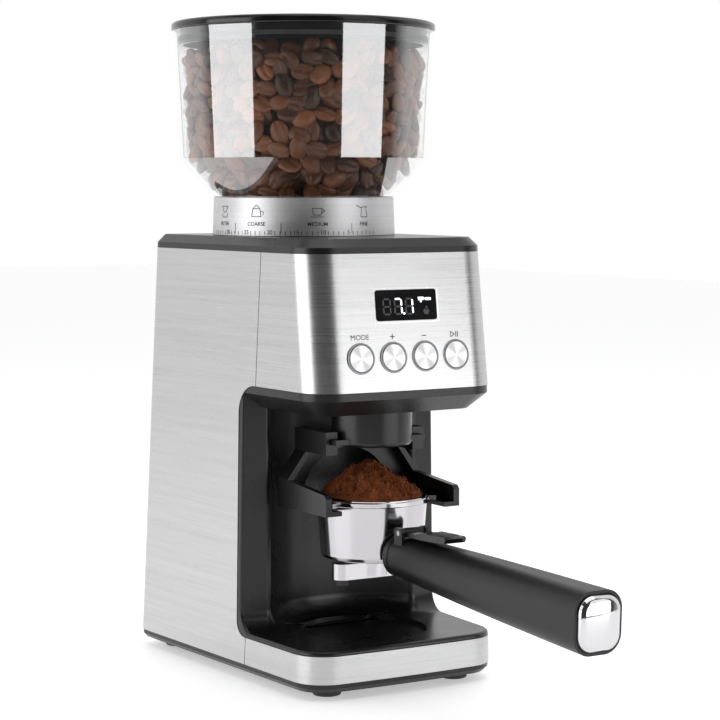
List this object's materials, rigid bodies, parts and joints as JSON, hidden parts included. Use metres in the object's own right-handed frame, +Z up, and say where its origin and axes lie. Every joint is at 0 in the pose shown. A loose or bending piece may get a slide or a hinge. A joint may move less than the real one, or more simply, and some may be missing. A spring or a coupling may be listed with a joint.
{
  "type": "burr coffee grinder",
  "caption": "Upright electric burr coffee grinder: clear bean hopper on a turning collar, leaning control face, open bay with a cradle that holds a portafilter over a tray.",
  "frame": {"origin": "on the worktop, under the middle of the grinder with its portafilter in place", "axes": "+Z up; the control face and the portafilter handle point along -Y; +X is to the right of a user who faces the controls"},
  "size_m": [0.156, 0.3764, 0.3776],
  "materials": {
    "brushed_steel": "fine horizontal brushing",
    "black_plastic": "satin moulded black",
    "cradle_plastic": "satin moulded black",
    "handle_plastic": "soft-touch black",
    "clear_plastic": "clear moulded hopper",
    "collar_aluminium": "fine turned satin with a printed scale",
    "chrome": "polished",
    "button_metal": "spun radial brushing",
    "display_glass": "gloss black window",
    "rubber": "matte",
    "inner_plastic": "moulded",
    "gear_plastic": "natural moulded",
    "burr_steel": "hardened and ground",
    "steel": "plain",
    "brass": "plain",
    "magnet": "plain",
    "copper": "plain",
    "board": "printed board"
  },
  "bodies": {
    "housing": {"base_plate": "black_plastic", "feet": "rubber", "base_screws": "steel", "base_band": "brushed_steel", "body_shell": "brushed_steel", "head_panel": "brushed_steel", "bay_frame": "black_plastic", "top_deck": "black_plastic", "chassis": "inner_plastic", "display_window": "display_glass", "display_module": "inner_plastic", "control_board": "board", "tact_switches": "inner_plastic", "button_bezels": "black_plastic", "outlet_nozzle": "black_plastic", "outlet_chute": "inner_plastic", "burr_chamber": "inner_plastic", "ball_bearings": "steel", "gearbox_case": "inner_plastic", "motor_can": "steel", "motor_end_cap": "inner_plastic", "motor_magnets": "magnet", "motor_bushes": "brass", "motor_screws": "steel", "power_board": "board", "cord_gland": "rubber", "hopper_switch": "inner_plastic"},
    "rotor": {"motor_shaft": "steel", "armature": "steel", "commutator": "copper", "pinion": "steel"},
    "burr_drive": {"drive_shaft": "steel", "drive_gear": "gear_plastic", "impeller": "gear_plastic", "cone_burr": "burr_steel", "burr_nut": "steel"},
    "upper_burr": {"burr_carrier": "gear_plastic", "ring_burr": "burr_steel"},
    "hopper": {"hopper": "clear_plastic", "adjust_collar": "collar_aluminium"},
    "lid": {"lid": "black_plastic", "lid_seal": "rubber"},
    "cradle": {"cradle": "cradle_plastic"},
    "portafilter": {"portafilter_cup": "chrome", "filter_basket": "chrome", "handle": "handle_plastic", "handle_ferrule": "handle_plastic", "handle_bolt": "steel", "handle_end_cap": "chrome", "spout": "chrome", "spout_tips": "rubber", "clip_pin": "steel"},
    "basket_clip": {"basket_clip": "handle_plastic"},
    "button_mode": {"button_mode": "button_metal"},
    "button_plus": {"button_plus": "button_metal"},
    "button_minus": {"button_minus": "button_metal"},
    "button_start": {"button_start": "button_metal"}
  },
  "joints": [
    {"name": "rotor_spin", "type": "hinge", "parent": "housing", "child": "rotor", "pos_m": [0, 0.14256, 0.12], "axis": [0, 0, 1], "continuous": true},
    {"name": "burr_spin", "type": "hinge", "parent": "housing", "child": "burr_drive", "pos_m": [0, 0.10631, 0.2], "axis": [0, 0, 1], "continuous": true},
    {"name": "hopper_turn", "type": "hinge", "parent": "housing", "child": "hopper", "pos_m": [0, 0.10631, 0.26], "axis": [0, 0, 1], "range_deg": [-35, 80]},
    {"name": "burr_travel", "type": "slide", "parent": "housing", "child": "upper_burr", "axis": [0, 0, 1], "range_m": [-0.0002, 0.0004]},
    {"name": "lid_lift", "type": "slide", "parent": "hopper", "child": "lid", "axis": [0, 0, 1], "range_m": [0, 0.12]},
    {"name": "cradle_slide", "type": "slide", "parent": "housing", "child": "cradle", "axis": [0, -1, 0], "range_m": [0, 0.07]},
    {"name": "portafilter_slide", "type": "slide", "parent": "cradle", "child": "portafilter", "axis": [0, -1, 0], "range_m": [0, 0.1]},
    {"name": "clip_hinge", "type": "hinge", "parent": "portafilter", "child": "basket_clip", "pos_m": [0, -0.01469, 0.0906], "axis": [-1, 0, 0], "range_deg": [0, 75]},
    {"name": "mode_press", "type": "slide", "parent": "housing", "child": "button_mode", "axis": [0, 0.9918, -0.1275], "range_m": [0, 0.0012], "stiffness_N_per_m": 600, "springref_m": -0.0005},
    {"name": "plus_press", "type": "slide", "parent": "housing", "child": "button_plus", "axis": [0, 0.9918, -0.1275], "range_m": [0, 0.0012], "stiffness_N_per_m": 600, "springref_m": -0.0005},
    {"name": "minus_press", "type": "slide", "parent": "housing", "child": "button_minus", "axis": [0, 0.9918, -0.1275], "range_m": [0, 0.0012], "stiffness_N_per_m": 600, "springref_m": -0.0005},
    {"name": "start_press", "type": "slide", "parent": "housing", "child": "button_start", "axis": [0, 0.9918, -0.1275], "range_m": [0, 0.0012], "stiffness_N_per_m": 600, "springref_m": -0.0005}
  ],
  "couplings": [
    {"joint": "burr_spin", "follows": "rotor_spin", "ratio": -0.20833},
    {"joint": "burr_travel", "follows": "hopper_turn", "m_per_rad": 0.00023873}
  ]
}
